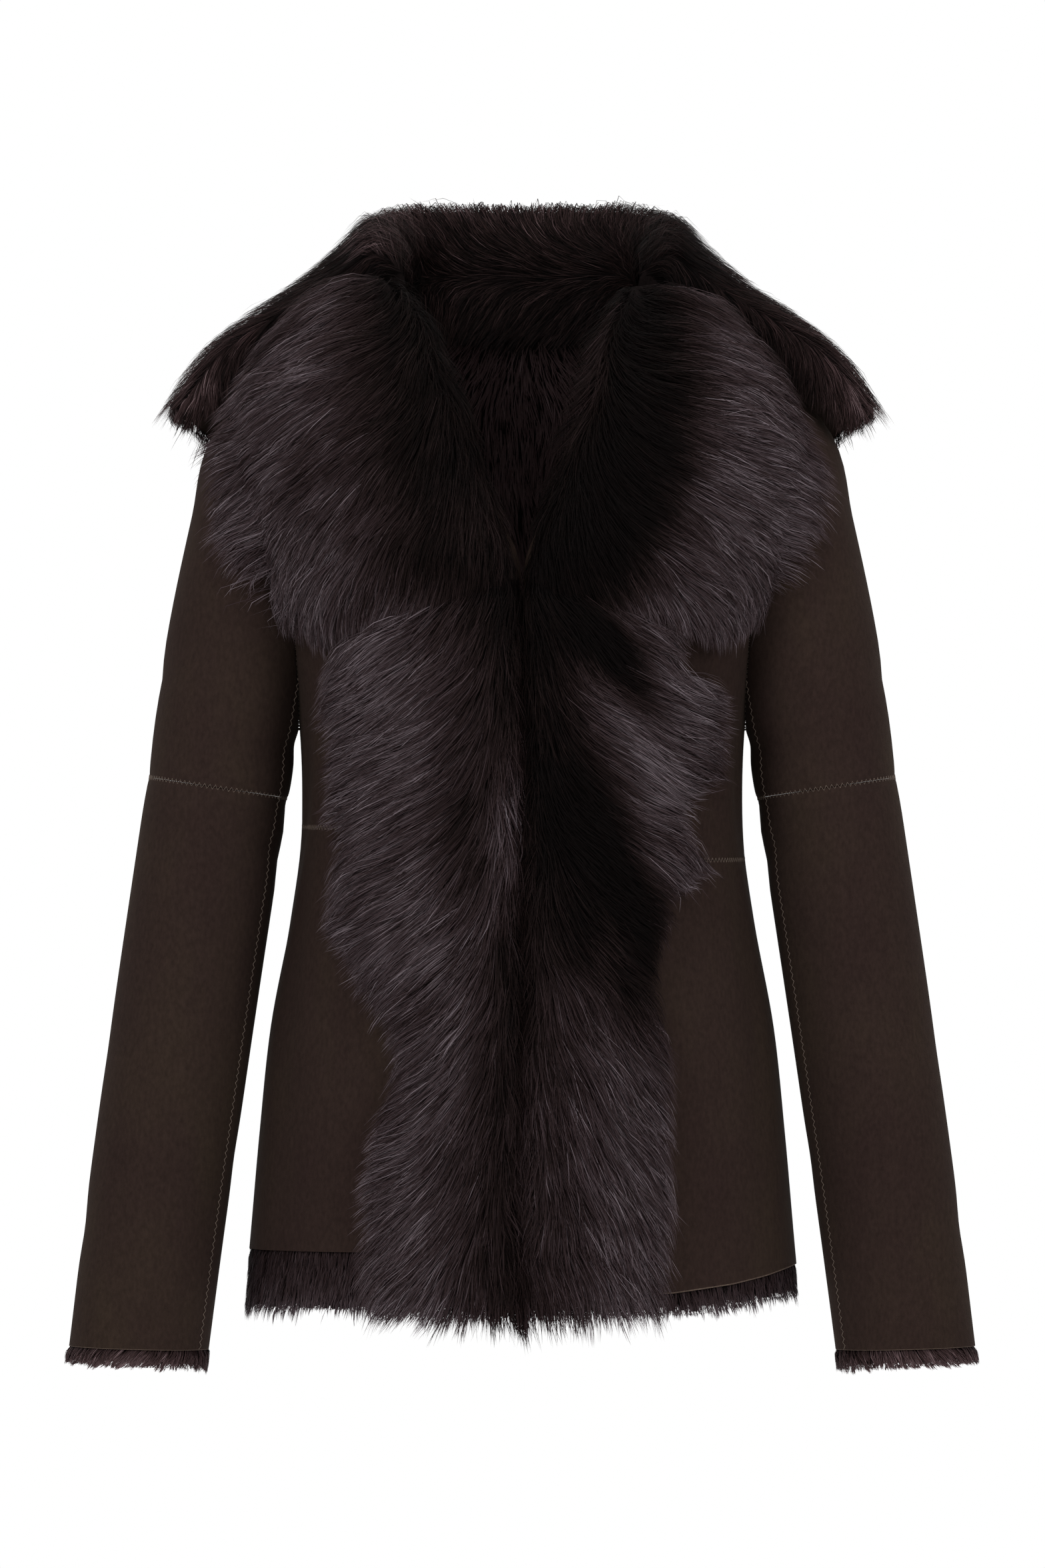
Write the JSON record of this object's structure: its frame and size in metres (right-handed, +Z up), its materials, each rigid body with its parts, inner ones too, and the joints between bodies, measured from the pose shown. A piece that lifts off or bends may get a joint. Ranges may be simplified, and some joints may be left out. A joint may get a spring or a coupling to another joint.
{
  "type": "shearling coat",
  "caption": "Worn-shape open-front shearling coat, suede outside, long wool turned out over collar, lapels and front edges, with wool at hem and cuffs.",
  "frame": {"origin": "on the middle plane, level with the seam between the collar and the back of the neck, where the wearer's shoulders hold the coat", "axes": "+X towards the wearer's left, -Y to the front, +Z up"},
  "size_m": [0.5742, 0.2838, 0.7343],
  "materials": {
    "suede": "dark brown suede, soft nap",
    "wool": "long black-brown wool with a grey-lilac sheen"
  },
  "bodies": {
    "root": {"back": "suede", "front_right_upper": "suede", "front_right_lower": "suede", "front_left_upper": "suede", "front_left_lower": "suede", "sleeve_right_upper": "suede", "sleeve_right_lower": "suede", "sleeve_left_upper": "suede", "sleeve_left_lower": "suede", "collar": "wool", "lapel_right": "wool", "lapel_left": "wool", "cascade_right": "wool", "cascade_left": "wool", "hem_wool_back": "wool", "hem_wool_right": "wool", "hem_wool_left": "wool", "cuff_wool_right": "wool", "cuff_wool_left": "wool"}
  },
  "joints": []
}
